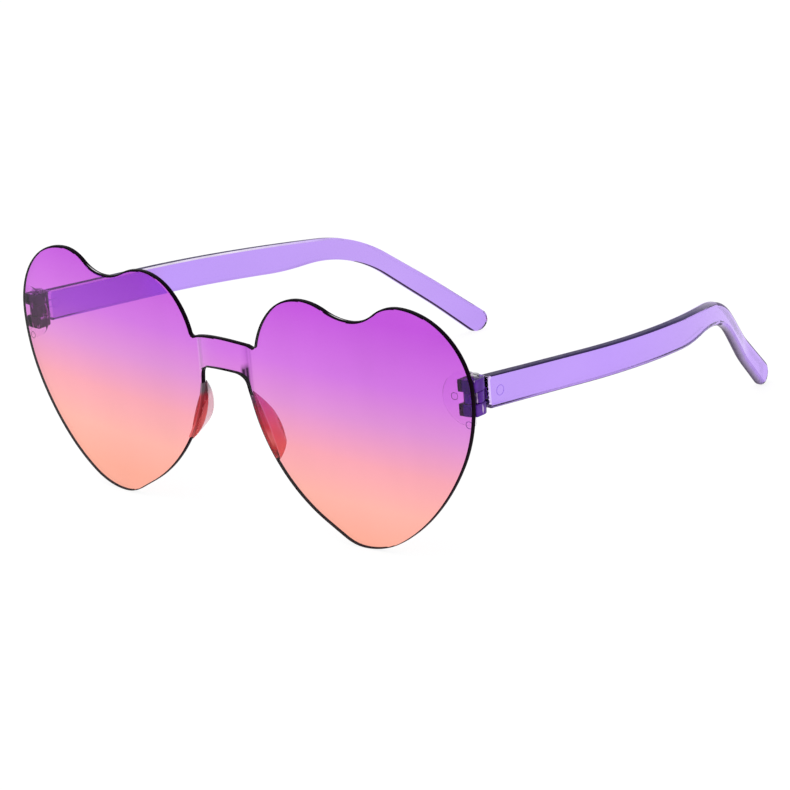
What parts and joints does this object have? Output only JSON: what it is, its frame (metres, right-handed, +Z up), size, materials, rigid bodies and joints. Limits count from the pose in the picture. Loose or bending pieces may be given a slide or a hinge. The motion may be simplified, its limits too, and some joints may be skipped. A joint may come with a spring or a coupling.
{
  "type": "heart shaped sunglasses",
  "caption": "Rimless heart-shaped sunglasses: tinted lens sheet with a joining bridge, clear nose pads, and side arms that fold inward on screwed hinges.",
  "frame": {"origin": "on the table, midway across the lens and midway between the front of the bridge and the rear of the side arms", "axes": "+Z up, wearer faces -Y, +X to the wearer's left, so the side arms run back along +Y"},
  "size_m": [0.1446, 0.1442, 0.0585],
  "materials": {
    "tinted_lens": "clear tinted plastic, purple at the top fading to peach at the bottom, polished",
    "tinted_temple": "translucent lavender plastic, polished",
    "hinge_plastic": "translucent purple plastic",
    "clear_pad": "clear soft plastic",
    "screw_steel": "plain steel"
  },
  "bodies": {
    "front": {"lens_front": "tinted_lens", "nose_pad_left": "clear_pad", "hinge_base_left": "hinge_plastic", "hinge_screw_left": "screw_steel", "nose_pad_right": "clear_pad", "hinge_base_right": "hinge_plastic", "hinge_screw_right": "screw_steel"},
    "left_temple": {"temple_left": "tinted_temple"},
    "right_temple": {"temple_right": "tinted_temple"}
  },
  "joints": [
    {"name": "left_hinge", "type": "hinge", "parent": "front", "child": "left_temple", "pos_m": [0.0696, -0.06217, 0.0394], "axis": [0, 0, 1], "range_deg": [0, 79]},
    {"name": "right_hinge", "type": "hinge", "parent": "front", "child": "right_temple", "pos_m": [-0.0696, -0.06217, 0.0394], "axis": [0, 0, -1], "range_deg": [0, 73]}
  ]
}
